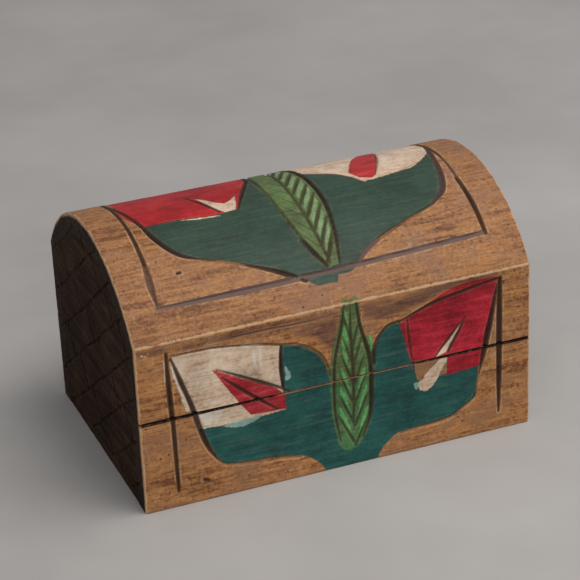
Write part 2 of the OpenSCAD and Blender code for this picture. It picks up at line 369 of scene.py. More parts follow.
def front_leaf(face):
    face.fill("leaf", [(76.3, 66.5), (75, 58), (73.5, 52), (71.5, 44), (70.9, 36), (71.2, 28),
                       (72, 18), (73.6, 10), (76, 6.4)],
              [(79, 6), (81.5, 8), (84.2, 10.5), (86.2, 18), (87.2, 26), (87.9, 36), (88.3, 44),
               (87.5, 49), (86.5, 51.5)],
              [(84.6, 50), (83.6, 57), (82.9, 66.5)])
    face.gouge([(77.4, 65), (76.2, 57), (74.6, 50), (73.1, 43), (72.6, 33), (72.9, 21), (74.6, 10.5)],
               [0.9, 1.3, 1.3, 1.4, 1.2, 1.0, 0.6], fade=0.2)
    face.gouge([(81.8, 65), (83, 56), (84.8, 49), (86.6, 41), (87, 31), (86.2, 19), (83.4, 10.5)],
               [0.9, 1.4, 1.7, 1.9, 2.0, 1.6, 0.8], fade=0.1)
    face.gouge([(79.6, 65), (79.5, 54), (79.9, 44), (80.1, 30), (79.6, 14)],
               [0.5, 1.2, 1.4, 1.2, 0.6], fade=0.15)
    for row, foot in enumerate(range(9, 50, 8)):
        spread = 6.9 - 0.07 * foot
        for way, rise in ((-1, 0.0), (1, -1.5)):
            low, middle, high = ((80 + way * spread * share, foot + rise + climb)
                                 for share, climb in ((0.04, 0), (0.5, 6.2), (1.0, 12.4)))
            face.gouge([low, middle, high], [1.2, 1.2, 0.5], fade=0.3)
            if way < 0 or row < 3:
                face.fill("light_leaf", [(low[0] + way * 0.8, low[1] + 3.2), (middle[0], middle[1] + 1.3),
                                         (high[0] - way * 0.6, high[1] + 1)],
                          [(high[0] - way * 0.6, high[1] + 4), (middle[0], middle[1] + 4.8)])
    face.fill("light_leaf", [(76.4, 47), (76.1, 52), (77, 57)], [(78.3, 56), (78.6, 48)])
    face.fill("light_leaf", [(86.6, 51), (87.8, 48), (88, 44)], [(86.8, 44)])


def front_frame(face):
    """Upright cuts at both ends of the front, small marks of use, and a dark band of grime and painted shade
    under the crease.
    """
    face.gouge([(11.4, 61), (11.5, 50), (12, 36)], [1.2, 2.0, 2.0])
    face.gouge([(12.2, 34.6), (12.4, 20), (12.6, 6.2)], [1.7, 1.7, 1.3])
    face.gouge([(137.9, 61.8), (137.7, 50), (137.6, 34)], [1.8, 2.3, 2.5])
    face.gouge([(137.6, 34), (137.5, 20), (137.4, 7.6)], [2.3, 2.1, 1.0])
    face.gouge([(27, 61.3), (45, 61.9), (62, 61.4), (75, 61.8)], [0.4, 0.7, 0.7, 0.3], fade=0.5)
    # a dark band under the crease ridge and beside the top of the leaf: grime and painted shade
    face.fill("grime", [(18, 62.9), (45, 63.1), (75, 62.7)], [(75, 60.6), (45, 60.7), (18, 61)])
    face.fill("grime", [(57, 59), (75, 61)], [(74, 47), (70.5, 50), (66, 54.4), (60, 57)])
    face.fill("grime", [(84, 62.6), (100, 62.9), (118, 65), (136, 65.2)],
              [(136, 63.8), (118, 62.2), (104, 58), (94, 56.4), (85, 58)])
    face.fill("grime", [(0, 63.8), (11, 64)], [(11, 61.6), (0, 62.2)])
    for u, v in ((2.4, 62), (3.5, 61.4), (4.5, 62.3), (14.5, 59.9), (19, 60)):
        face.fill("chalk", [(u, v), (u + 0.7, v + 0.5)], [(u + 0.9, v - 0.3)])
    face.gouge([(22.4, 8.4), (24, 7.6)], [1.5, 1.2])


# ---- The flower on the dome: u from the left end, v along the arc from the front crease ---------
def dome_flower(face):
    face.fill("cup",
              [(17.5, 49), (19, 43), (21.5, 37), (25, 32), (30, 28.5), (40, 25), (50, 20.5),
               (58, 16.5), (64, 12.8), (67, 10.6)],
              [(70, 8.5), (77.5, 8.2)], [(78.2, 10.8), (83, 10.8), (86.6, 12.8)],
              [(90, 16.5), (95, 20), (103, 23.5), (112, 27), (122, 30.5), (128, 35), (130, 40),
               (132, 48), (134, 57), (136.8, 68), (137.2, 84), (136, 98)],
              [(124, 100), (110, 101), (84, 96)], [(76, 97), (66, 95)],
              [(52, 99), (40, 101), (14.5, 98)], [(13.6, 80), (15.5, 62), (17.5, 49)])
    # left petal, red, with a pale two-pronged pistil
    face.fill("red", [(17.8, 48.6), (30, 49.2), (45, 47.6)], [(54, 48.2)],
              [(58, 56), (63, 66), (66.3, 74), (67.2, 84), (66, 94)],
              [(52, 98.6), (40, 100.4), (14.8, 97.4)], [(13.8, 80), (15.5, 62), (17.8, 48.6)])
    face.fill("red", [(13.6, 62), (14.4, 56), (16.4, 52)], [(17.6, 52), (16, 60), (14.4, 66)])
    prongs = ([(42.4, 63), (44.6, 56.5), (47.3, 50.5), (49.2, 48)], [(53.4, 48.3)],
              [(55, 52.5), (56.6, 58.4)], [(53.6, 55.3), (51, 53.8)], [(48, 56), (44.6, 60.6)])
    face.fill("cream", *prongs)
    face.clear("red", *prongs)
    face.fill("cream", [(30, 48.9), (38, 48), (46, 47)], [(47, 46.4), (38, 47)])
    # right petal, pale, with a red pistil
    face.fill("cream", [(86, 66.5), (90, 63.5), (95, 61), (100, 55.5), (103.6, 49.8)],
              [(112, 51), (118, 52.3), (124, 53.2), (130, 57.5), (134, 62), (136.4, 67)],
              [(136.8, 85), (135.5, 97)], [(124, 99.4), (110, 100.4), (84.5, 95)], [(85, 80)])
    face.fill("red", [(103, 53.4), (107.4, 51.4), (110.6, 54.6), (113, 60), (116, 67), (118.8, 75),
                      (122, 88)],
              [(115.6, 84), (109, 74), (104.6, 66), (101, 58.6)])
    # cuts round the cup and the petals
    face.gouge([(13.4, 73), (15.4, 62), (18.4, 49)], [1.0, 1.9, 1.9])
    face.gouge([(18.4, 49), (19.9, 42), (23, 35), (27, 30.4), (32, 27.8)], [1.7, 2.3, 2.3, 2.0, 1.0])
    face.gouge([(32, 27.8), (40, 24.6), (47, 21.6)], [1.3, 1.3, 1.2], fade=0.7)
    face.gouge([(47, 21.6), (56, 17.2), (62, 13.8), (66.3, 11)], [1.0, 1.7, 2.3, 1.6])
    # the grey given to some of these cuts is dust and a painted sheen
    face.gouge([(87, 13.3), (91, 17.3), (97, 20.8)], [1.1, 1.9, 1.6], dust=0.7)
    face.gouge([(97, 20.8), (110, 26.2), (122, 30.7)], [1.6, 1.4, 1.5], fade=0.62)
    face.gouge([(122, 30.7), (128, 35.5), (130.7, 41), (133, 50), (135, 60), (137, 70)],
               [1.3, 2.3, 2.5, 2.0, 1.8, 1.3], dust=0.3)
    face.gouge([(18.4, 48.8), (30, 49), (45, 47.6)], [0.9, 0.5, 0.8], fade=0.5)
    face.gouge([(54.3, 48.4), (58.3, 56.5), (63.3, 66.5), (66.4, 74), (67, 84)], [0.8, 1.7, 1.8, 1.5, 1.0])
    face.gouge([(85.8, 66.4), (95, 60.8), (99.8, 55.4), (103.8, 49.6)], [0.8, 1.1, 1.1, 0.8])
    face.gouge([(103.8, 49.8), (118, 52.2), (130, 57.2)], [0.6, 0.7, 0.5], fade=0.6)
    face.gouge([(39.3, 67), (43, 58.5), (47.6, 49)], [0.8, 1.6, 1.2])
    face.gouge([(109.4, 53), (114.6, 63.4), (120.4, 80)], [0.5, 1.3, 0.8], fade=0.35)
    face.gouge([(14.4, 98.6), (40, 101.2), (66, 95.4)], [1.0, 1.4, 1.0])
    face.gouge([(84.5, 96.2), (110, 101.2), (136, 98.4)], [1.0, 1.4, 1.0])
    dome_leaf(face)


def dome_leaf(face):
    face.fill("leaf", [(75.7, 14), (72.5, 19), (70, 26), (68.5, 35), (67.5, 45), (67, 55), (67, 66),
                       (68.6, 80), (72, 92), (76, 102)],
              [(80, 92), (83.4, 80), (84.8, 66), (85, 50), (84.6, 38), (83.2, 28), (81.6, 20), (79.8, 14.4)])
    face.fill("leaf", [(76.3, -1), (76.6, 1.2), (78, 2.3)], [(79.4, 1.2), (81.6, 2.4)],
              [(83, 1.4), (83.2, -1)])
    face.gouge([(75.8, 14.6), (72.8, 20.4), (70.4, 27)], [1.3, 2.2, 1.6])
    face.gouge([(70.4, 27), (68.5, 38), (67.6, 50), (67.6, 64), (69.2, 80), (75.6, 100)],
               [1.5, 1.3, 1.4, 1.4, 1.2, 0.6], fade=0.4)
    face.gouge([(80.4, 15), (83, 28), (85, 42), (85.3, 56), (84.7, 68), (83, 82), (76.6, 100)],
               [0.9, 1.7, 2.0, 2.0, 1.8, 1.4, 0.6], fade=0.12)
    face.gouge([(77, 15.5), (75.9, 30), (75.4, 45), (75.5, 60), (76, 76), (76, 94)],
               [1.0, 1.4, 1.4, 1.3, 1.1, 0.5], fade=0.35)
    for foot in range(16, 86, 7):
        reach = 7.4 - 0.0022 * (foot - 40) ** 2
        face.gouge([(76.2, foot), (76.2 + reach * 0.45, foot + 5.4), (76.2 + reach, foot + 12.4)],
                   [1.3, 1.6, 0.9], fade=0.25)
        face.gouge([(75.2, foot), (75.2 - reach * 0.45, foot + 4.6), (75.2 - reach, foot + 10.6)],
                   [0.8, 0.7, 0.4], fade=0.4)
        face.fill("light_leaf",
                  [(77, foot + 3.2), (76.2 + reach * 0.45, foot + 7.4), (75.8 + reach, foot + 13.6)],
                  [(75.6 + reach, foot + 16.6), (76 + reach * 0.45, foot + 10.4)], [(77, foot + 5.6)])


def dome_frame(face):
    """The frame cut round the dome's face."""
    # the grey given to these cuts is dust and a painted sheen
    face.gouge([(11.8, 12.2), (40, 12.1), (75, 12.7), (110, 13.9), (136.8, 15)],
               [1.3, 2.4, 2.2, 2.0, 1.7], dust=1.0)
    face.gouge([(12.3, 12.8), (12.2, 20), (12.8, 29)], [0.9, 2.7, 2.0], dust=0.35, fade=0.25)
    face.gouge([(12.8, 29), (13.1, 45), (13, 62), (12.8, 82), (12.8, 104.6)], [1.7, 1.4, 1.6, 1.8, 1.4])
    face.gouge([(136.9, 14.6), (136.9, 26), (136.4, 41)], [1.6, 2.1, 1.7])
    face.gouge([(136.6, 41), (137.2, 60), (137.2, 82), (137.2, 104.6)], [1.0, 1.4, 1.7, 1.4], dust=0.3)
    face.gouge([(12.4, 104.6), (75, 104.2), (137.4, 104.6)], [1.2, 1.9, 1.2], dust=0.4)
    face.gouge([(22.8, 23.7), (23.9, 23.9)], [1.3, 1.2])


def back_frame(face):
    """Upright cuts on the plain back."""
    for u in (12.5, WIDTH - 12.5):
        face.gouge([(u, CREASE - 5), (u, CREASE / 2), (u, 6.5)], [1.5, 2.2, 1.5])


# ---- Boards ------------------------------------------------------------------------------------
def rim_lines(length, cell):
    """Mesh lines across a face, closer together at its rims."""
    rim = np.array([0, 0.12, 0.3, 0.55, 0.85, 1.2])
    middle = np.linspace(1.2, length - 1.2, max(2, int((length - 2.4) / cell)) + 1)
    return np.concatenate([rim[:-1], middle, (length - rim[:-1])[::-1]])


def wobble(a, b=0.0):
    """A slow, uneven wave between about -1 and 1, like the marks of hand tools."""
    return (np.sin(a * 0.31 + 1.3 * np.sin(b * 0.17 + 0.4)) + np.sin(a * 0.83 + b * 0.53 + 2.1)
            + 0.7 * np.sin(b * 0.61 - a * 0.19 + 0.9)) / 2.7


def rim_drop(distance, radius):
    """How far a worn, rounded rim falls below the face."""
    inward = np.clip(radius - distance, 0, radius)
    return radius - np.sqrt(np.maximum(radius ** 2 - inward ** 2, 0))


class Board:
    """A closed slab: a fine carved face, walls in layers down from its rim, and a coarse inner face."""

    SKIP = 6                                # face cells to one cell of the inner face
    LAYER = 0.6                             # height of one ring of wall
    ATTRIBUTES = Face.PAINTS + ("cut", "dust", "fade", "edge", "stain", "bare")

    def __init__(self, size, cell, rims, finishes, worn, carve=None):
        self.width, self.height, self.thick = size
        self.rims, self.finishes, self.worn = rims, finishes, worn
        self.across, self.up = rim_lines(self.width, cell), rim_lines(self.height, cell)
        self.points, self.layers, self.faces = [], {n: [] for n in self.ATTRIBUTES}, []
        self.count = 0
        self.add_outer(carve)
        self.add_walls()
        self.add_inner()

    def add_points(self, u, v, w, values):
        start = self.count
        self.points.append(np.stack([u, v, w], axis=1))
        for name in self.ATTRIBUTES:
            default = NOWHERE if name in Face.PAINTS + ("cut",) else 9.0 if name == "edge" else 0.0
            self.layers[name].append(np.broadcast_to(values.get(name, default), u.shape))
        self.count += len(u)
        return start

    def add_outer(self, carve):
        u, v = (a.ravel() for a in np.meshgrid(self.across, self.up, indexing="ij"))
        face = Face(u, v)
        if carve:
            carve(face)
        gaps = {"left": u, "right": self.width - u, "low": v, "high": self.height - v}
        wave = {"left": wobble(v * 1.7, 3), "right": wobble(v * 1.7, 11),
                "low": wobble(u * 0.9, 5), "high": wobble(u * 0.9, 17)}
        drop, edge = np.zeros(u.shape), np.full(u.shape, 9.0)
        for side, gap in gaps.items():
            radius = self.rims[side](u) if callable(self.rims[side]) else self.rims[side]
            drop += rim_drop(gap, radius * (1 + 0.3 * wave[side]))
            if side in self.worn:
                edge = np.minimum(edge, gap + 1.8 * (1 - self.worn[side]))
        clear = np.clip(np.min(list(gaps.values()), axis=0) / 3, 0, 1)
        sink = np.clip(face.paint["cup"] / 1.4, 0, 1) * PAINT_SINK
        depth = np.minimum(np.maximum(face.cut, 0) * GOUGE_SLOPE, DEEPEST)
        w = -drop - depth - (sink + TOOL_MARK * (1 + wobble(u * 0.7, v * 1.5))) * clear
        stain, bare = np.zeros(u.shape), np.zeros(u.shape)
        for side in ("low", "high"):
            if self.rims[side] is saw_rim and self.finishes["face"] == "wood":
                lip = np.clip(1.25 - gaps[side] / (1.3 * saw_rim(u)), 0, 1)
                stain = np.maximum(stain, lip * soaked(u))
                bare = np.maximum(bare, lip * (1 - soaked(u)) * 0.62)
        for side in ("left", "right"):
            if self.finishes[side] == "stain":
                stain = np.maximum(stain, np.clip(0.5 - gaps[side] / 1.6, 0, 1))
        if self.finishes["face"] == "stain":
            stain += 1
        self.outer = {"u": u, "v": v, "w": w, "cut": face.cut}
        self.add_points(u, v, w, {**face.paint, "cut": face.cut, "dust": face.dust,
                                  "fade": face.fade, "edge": edge, "stain": stain, "bare": bare})
        i, j = np.meshgrid(np.arange(len(self.across) - 1), np.arange(len(self.up) - 1), indexing="ij")
        corner, step = (i * len(self.up) + j).ravel(), len(self.up)
        self.faces += np.stack([corner, corner + step, corner + step + 1, corner + 1], axis=1).tolist()

    def add_walls(self):
        nu, nv = len(self.across), len(self.up)
        loop = ([(i, 0, "low") for i in range(nu - 1)] + [(nu - 1, j, "right") for j in range(nv - 1)]
                + [(i, nv - 1, "high") for i in range(nu - 1, 0, -1)]
                + [(0, j, "left") for j in range(nv - 1, 0, -1)])
        self.loop = loop
        index = np.array([i * nv + j for i, j, _ in loop])
        u, v, top = (self.outer[k][index] for k in ("u", "v", "w"))
        finish = [self.finishes[side] for _, _, side in loop]
        stain = np.array([0.0 if f == "wood" else 1.0 for f in finish])
        bare = np.array([1.0 if f == "bare" else 0.0 for f in finish])
        wear = np.array([self.worn.get(side, 0.0) for _, _, side in loop])
        sawn = np.array([1.0 if self.rims[side] is saw_rim else 0.0 for _, _, side in loop])
        count = int(self.thick / self.LAYER)
        foot = -(self.thick - 0.1)
        above = index
        around = np.arange(len(loop))
        for k in range(1, count + 1):
            w = top + (foot - top) * k / count
            edge = np.where(wear > 0, top - w + 0.3 + 1.8 * (1 - wear), 9.0)
            shallow = np.clip(2 - (top - w) / 0.9, 0, 1) * sawn * soaked(u)
            start = self.add_points(u, v, w, {"stain": np.maximum(stain, shallow),
                                              "bare": bare * (1 - shallow), "edge": edge})
            below = start + around
            quads = np.stack([below, np.roll(below, -1), np.roll(above, -1), above], axis=1)
            self.faces += quads.tolist()
            above = below
        self.last = above

    def add_inner(self):
        nu, nv = len(self.across), len(self.up)
        columns = sorted(set(range(0, nu, self.SKIP)) | {nu - 1})
        rows = sorted(set(range(0, nv, self.SKIP)) | {nv - 1})
        u, v = (a.ravel() for a in np.meshgrid(self.across[columns], self.up[rows], indexing="ij"))
        start = self.add_points(u, v, np.full(u.shape, -self.thick), {"bare": 1.0, "stain": 1.0})
        number = {(c, r): start + a * len(rows) + b
                  for a, c in enumerate(columns) for b, r in enumerate(rows)}
        for a in range(len(columns) - 1):
            for b in range(len(rows) - 1):
                self.faces.append([number[columns[a], rows[b]], number[columns[a], rows[b + 1]],
                                   number[columns[a + 1], rows[b + 1]], number[columns[a + 1], rows[b]]])
        stops = [k for k, (i, j, _) in enumerate(self.loop) if (i, j) in number]
        for here, there in zip(stops, stops[1:] + [stops[0] + len(self.loop)]):
            chain = [int(self.last[k % len(self.loop)]) for k in range(there, here - 1, -1)]
            a = number[self.loop[here][:2]]
            b = number[self.loop[there % len(self.loop)][:2]]
            self.faces.append([a, b] + chain)

    def build(self, name, place):
        """Makes the object, with each point put in its place by a function of u, v and w."""
        u, v, w = np.vstack(self.points).T
        points = np.stack(place(u, v, w), axis=1) * MM
        mesh = bpy.data.meshes.new(name)
        mesh.from_pydata(points.tolist(), [], self.faces)
        for attribute, parts in self.layers.items():
            stored = mesh.attributes.new(attribute, "FLOAT", "POINT")
            stored.data.foreach_set("value", np.concatenate(parts).astype(np.float32))
        mesh.update()
        piece = bpy.data.objects.new(name, mesh)
        bpy.context.scene.collection.objects.link(piece)
        return piece


def soaked(u):
    """How much stain ran into the saw cut: none in the middle of the front, all towards the ends."""
    return np.clip((np.abs(u - HALF_W - 2) - 24) / 6, 0, 1)


def saw_rim(u):
    """The saw cut's lips, more worn towards the ends of the box."""
    return 0.26 + 0.34 * np.clip(np.abs(u - HALF_W - 4) / HALF_W, 0, 1) ** 1.6


def signed_volume(mesh):
    mesh.calc_loop_triangles()
    points = np.empty(len(mesh.vertices) * 3, np.float32)
    mesh.vertices.foreach_get("co", points)
    corners = np.empty(len(mesh.loop_triangles) * 3, np.int32)
    mesh.loop_triangles.foreach_get("vertices", corners)
    a, b, c = points.reshape(-1, 3)[corners.reshape(-1, 3)].transpose(1, 0, 2).astype(float)
    return float(np.einsum("ij,ij->i", a, np.cross(b, c)).sum() / 6)


def face_outwards(piece):
    if signed_volume(piece.data) < 0:
        piece.data.flip_normals()
    piece.data.shade_smooth()
    piece.data.set_sharp_from_angle(angle=math.radians(50))


# ---- Geometry Nodes ----------------------------------------------------------------------------
class Rule:
    """A Geometry Nodes tree with named inputs, and a way to run it on a piece."""

    def __init__(self, name, inputs):
        self.group = bpy.data.node_groups.new(name, "GeometryNodeTree")
        sockets = self.group.interface
        sockets.new_socket("Geometry", in_out="INPUT", socket_type="NodeSocketGeometry")
        for label, kind, value in inputs:
            socket = sockets.new_socket(label, in_out="INPUT", socket_type=kind)
            if value is not None:
                socket.default_value = value
        sockets.new_socket("Finish", in_out="INPUT", socket_type="NodeSocketMaterial")
        sockets.new_socket("Geometry", in_out="OUTPUT", socket_type="NodeSocketGeometry")
        self.tree = Tree(self.group)
        self.start = self.tree.node("NodeGroupInput")

    def named(self, label):
        return self.start.other(label)

    def end(self, geometry):
        whole = self.tree.node("GeometryNodeRealizeInstances", {}, {"Geometry": geometry})
        coated = self.tree.node("GeometryNodeSetMaterial", {},
                                {"Geometry": whole, "Material": self.named("Finish")})
        self.tree.node("NodeGroupOutput", {}, {0: coated})

    def run(self, piece, **values):
        """Applies the rule and leaves a plain mesh; spaces in input names are written as _."""
        modifier = piece.modifiers.new(self.group.name, "NODES")
        modifier.node_group = self.group
        for item in self.group.interface.items_tree:
            key = item.name.replace(" ", "_")
            if item.in_out == "INPUT" and key in values:
                modifier[item.identifier] = values[key]
        graph = bpy.context.evaluated_depsgraph_get()
        mesh = bpy.data.meshes.new_from_object(piece.evaluated_get(graph),
                                               preserve_all_data_layers=True, depsgraph=graph)
        piece.modifiers.remove(modifier)
        old, piece.data = piece.data, mesh
        bpy.data.meshes.remove(old)
        mesh.name = piece.name
        return piece


def dome_rule():
    """Bends a flat slab (x across, y along the arc, z out of the face) over the dome's axis."""
    rule = Rule("bend_over_dome", [
        ("Outer Radius", "NodeSocketFloat", DOME_R * MM), ("Axis Height", "NodeSocketFloat", AXIS_Z * MM),
        ("Seat Height", "NodeSocketFloat", SEAT * MM), ("Arc Length", "NodeSocketFloat", DOME_ARC * MM)])
    t = rule.tree
    flat = t.node("ShaderNodeSeparateXYZ", {}, {0: t.node("GeometryNodeInputPosition")})
    radius = flat.other("Z") + rule.named("Outer Radius")
    half_angle = (rule.named("Seat Height") / radius).arccos()
    angle = (flat.other("Y") / rule.named("Arc Length") * 2.0 - 1.0) * half_angle
    bent = t.node("ShaderNodeCombineXYZ", {}, {
        "X": flat.other("X"), "Y": radius * angle.sin(),
        "Z": radius * angle.cos() + rule.named("Axis Height")})
    rule.end(t.node("GeometryNodeSetPosition", {}, {"Geometry": rule.start, "Position": bent}))
    return rule


def end_cut_rule():
    """Cuts slanting rows with short staggered ticks into every face that lies on an end of the box."""
    rule = Rule("slanting_end_cuts", [
        ("Pitch", "NodeSocketFloat", CUT_PITCH), ("Start Height", "NodeSocketFloat", CUT_START),
        ("Slope", "NodeSocketFloat", CUT_SLOPE), ("Cut Width", "NodeSocketFloat", CUT_W),
        ("Half Width", "NodeSocketFloat", HALF_W), ("Half Depth", "NodeSocketFloat", HALF_D),
        ("Dome Radius", "NodeSocketFloat", DOME_R), ("Dome Axis", "NodeSocketFloat", AXIS_Z),
        ("Margin", "NodeSocketFloat", CUT_MARGIN)])
    t = rule.tree
    place = t.scaled(t.node("GeometryNodeInputPosition"), (1 / MM, 1 / MM, 1 / MM))
    parts = t.node("ShaderNodeSeparateXYZ", {}, {0: place})
    x, y, z = parts.other("X"), parts.other("Y"), parts.other("Z")
    hand = t.noise(place, 0.05, 2.0) * 3.0 - 1.5
    pitch, slope = rule.named("Pitch"), rule.named("Slope")
    raised = z - rule.named("Start Height")
    over = y * slope.sin() + raised * slope.cos() + hand
    along = y * slope.cos() - raised * slope.sin()
    row_gap = pitch * slope.cos()
    row = (over / row_gap + 0.5).floor()
    from_row = abs(over - row * row_gap)
    brick = (over / row_gap).floor()
    shifted = along + brick * pitch * slope.sin() + brick.wrap(2.0) * pitch + hand
    from_tick = abs((shifted + pitch).wrap(pitch * 2.0) - pitch)
    width = rule.named("Cut Width") * (0.3 + t.noise(place, 0.11, 1.0) * 0.55)
    groove = (width - from_row).high(width * 0.8 - from_tick)
    height = z - rule.named("Dome Axis")
    rim = (rule.named("Half Depth") - abs(y)).low(z).low(
        rule.named("Dome Radius") - (y * y + height * height).root())
    allowed = rim - rule.named("Margin") + hand * 1.5
    groove = groove.low(allowed)
    on_end = ((abs(x) - rule.named("Half Width") + 0.6) * 4.0).clamp()
    depth = groove.high(0.0) * on_end * 0.95
    shift = t.node("ShaderNodeCombineXYZ", {}, {"X": depth * x.sign() * -MM})
    moved = t.node("GeometryNodeSetPosition", {}, {"Geometry": rule.start, "Offset": shift})
    kept = t.node("GeometryNodeInputNamedAttribute", {"data_type": "FLOAT"}, {"Name": "cut"})
    shown = kept.high(groove * on_end - (1.0 - on_end) * 9.0)
    rule.end(t.node("GeometryNodeStoreNamedAttribute", {"data_type": "FLOAT", "domain": "POINT"},
                    {"Geometry": moved, "Name": "cut", "Value": shown}))
    return rule


def nail_rule():
    """Sets a domed nail, its shank along Y, on each point of the piece."""
    rule = Rule("hinge_nails", [
        ("Head Radius", "NodeSocketFloat", 0.0013), ("Head Height", "NodeSocketFloat", 0.0007),
        ("Shank Radius", "NodeSocketFloat", 0.0006), ("Shank Length", "NodeSocketFloat", 0.0055),
        ("Seed", "NodeSocketInt", 4)])
    t = rule.tree
    ball = t.node("GeometryNodeMeshUVSphere", {}, {"Segments": 14, "Rings": 8, "Radius": 1.0})
    head = t.node("GeometryNodeTransform", {}, {
        "Geometry": ball, "Scale": t.node("ShaderNodeCombineXYZ", {}, {
            "X": rule.named("Head Radius"), "Y": rule.named("Head Radius"), "Z": rule.named("Head Height")})})
    rod = t.node("GeometryNodeMeshCylinder", {}, {
        "Vertices": 12, "Radius": rule.named("Shank Radius"), "Depth": rule.named("Shank Length")})
    shank = t.node("GeometryNodeTransform", {}, {
        "Geometry": rod, "Translation": t.node("ShaderNodeCombineXYZ", {}, {
            "Z": rule.named("Shank Length") * -0.5})})
    nail = t.node("GeometryNodeJoinGeometry", {}, {})
    for part in (shank, head):
        t.tree.links.new(part.socket, nail.socket.node.inputs[0])
    turn = t.node("FunctionNodeRandomValue", {"data_type": "FLOAT"},
                  {2: 0.0, 3: 6.28, "Seed": rule.named("Seed")}, out=1)
    points = t.node("GeometryNodeMeshToPoints", {}, {"Mesh": rule.start})
    turned = t.node("ShaderNodeCombineXYZ", {}, {"X": -math.pi / 2, "Z": 0.0, "Y": 0.0})
    placed = t.node("GeometryNodeInstanceOnPoints", {}, {
        "Points": points, "Instance": nail, "Rotation": turned})
    spun = t.node("GeometryNodeRotateInstances", {}, {
        "Instances": placed, "Rotation": t.node("ShaderNodeCombineXYZ", {}, {"Z": turn})})
    rule.end(spun)
    return rule


# ---- Materials ---------------------------------------------------------------------------------
def new_material(name):
    material = bpy.data.materials.new(name)
    material.use_nodes = True
    return material, Tree(material.node_tree)


def finish_material(t, colour, roughness, bump, metallic=0.0, bump_depth=0.0002, strength=0.5, gloss=0.5):
    normal = t.node("ShaderNodeBump", {}, {"Strength": strength, "Distance": bump_depth, "Height": bump})
    shader = t.node("ShaderNodeBsdfPrincipled", {}, {
        "Base Color": colour, "Roughness": roughness, "Metallic": metallic, "Normal": normal,
        "Specular IOR Level": gloss})
    t.node("ShaderNodeOutputMaterial", {}, {0: shader})


def wood_parts(t, grain):
    """Object millimetres, and noises that run along the grain ("X" or "Y")."""
    place = t.scaled(t.node("ShaderNodeTexCoord", out="Object"), (1 / MM, 1 / MM, 1 / MM))

    def stretched(along, cross):
        factors = (along, cross, cross) if grain == "X" else (cross, along, cross)
        return t.scaled(place, factors)
    return {
        "place": place,
        "band": t.noise(stretched(0.028, 0.42), 1.0, 3.0, 0.55, 0.6),
        "fibre": t.noise(stretched(0.11, 2.3), 1.0, 3.0, 0.6),
        "streak": t.noise(stretched(0.075, 0.95), 1.0, 4.0, 0.6, 0.3),
        "pore": (t.noise(stretched(0.22, 3.1), 1.0, 1.0) - 0.68).edge(0.05),
        "blotch": t.noise(place, 0.06, 3.0, 0.6),
        "grit": t.noise(place, 0.8, 2.0, 0.6),
        "drift": t.noise(place, 0.2, 2.0),
        "scratch": t.noise(stretched(2.6, 0.2), 1.0, 1.0),
    }


